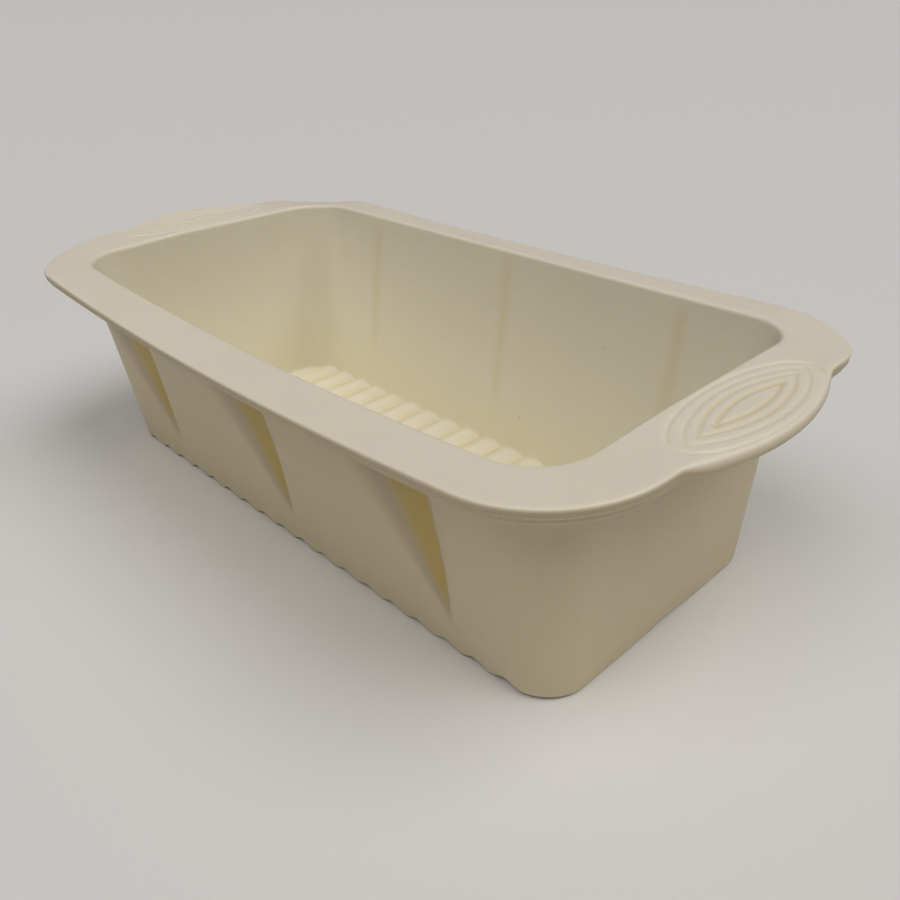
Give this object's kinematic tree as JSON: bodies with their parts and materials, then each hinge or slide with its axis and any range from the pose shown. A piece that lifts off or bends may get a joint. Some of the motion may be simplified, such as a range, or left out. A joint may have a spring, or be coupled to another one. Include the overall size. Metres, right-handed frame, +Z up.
{
  "type": "soap loaf mould",
  "caption": "Soft silicone loaf mould with a ribbed floor, fluted long walls, a flat turned-out rim and an oval-grooved grip tab at each end.",
  "frame": {"origin": "middle of the flat face that the mould stands on", "axes": "+X along the loaf towards the right grip tab, +Y across towards the back wall, +Z up out of the cavity"},
  "size_m": [0.271, 0.137, 0.0725],
  "materials": {
    "silicone": "satin translucent cream silicone"
  },
  "bodies": {
    "root": {"floor_pan": "silicone", "front_wall": "silicone", "back_wall": "silicone", "left_end_wall": "silicone", "right_end_wall": "silicone", "front_rim": "silicone", "back_rim": "silicone", "left_rim": "silicone", "right_rim": "silicone", "left_grip_tab": "silicone", "right_grip_tab": "silicone"}
  },
  "joints": []
}
